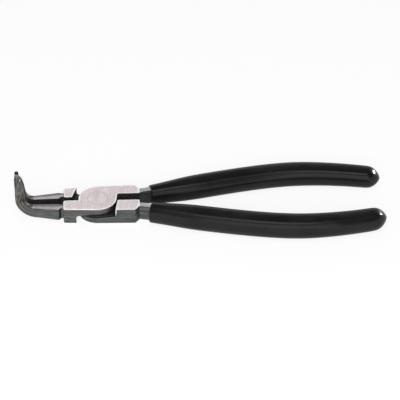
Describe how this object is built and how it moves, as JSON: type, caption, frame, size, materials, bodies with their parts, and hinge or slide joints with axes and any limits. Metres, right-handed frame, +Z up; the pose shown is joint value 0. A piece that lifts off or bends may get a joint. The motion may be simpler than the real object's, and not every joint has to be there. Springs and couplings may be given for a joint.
{
  "type": "circlip pliers",
  "caption": "Internal circlip pliers with thin round tips bent up at a right angle, crossing forged halves on a flush rivet, and dipped plastic grips.",
  "frame": {"origin": "pivot axis where it meets the ground underside of the joint", "axes": "+X from the pivot towards the handles, +Y towards the handle of the upper half, +Z up along the pivot axis, the way the tips point"},
  "size_m": [0.165, 0.05, 0.0233],
  "materials": {
    "forged_steel": "forged, with ground joint faces and fine grinding lines",
    "rivet_steel": "ground flush with the joint",
    "grip_plastic": "dipped vinyl, black, soft sheen"
  },
  "bodies": {
    "lower": {"lower_half": "forged_steel", "pivot_rivet": "rivet_steel", "grip_lower": "grip_plastic"},
    "upper": {"upper_half": "forged_steel", "grip_upper": "grip_plastic"}
  },
  "joints": [
    {"name": "pivot", "type": "hinge", "parent": "lower", "child": "upper", "pos_m": [0, 0, 0], "axis": [0, 0, 1], "range_deg": [0, 30]}
  ]
}
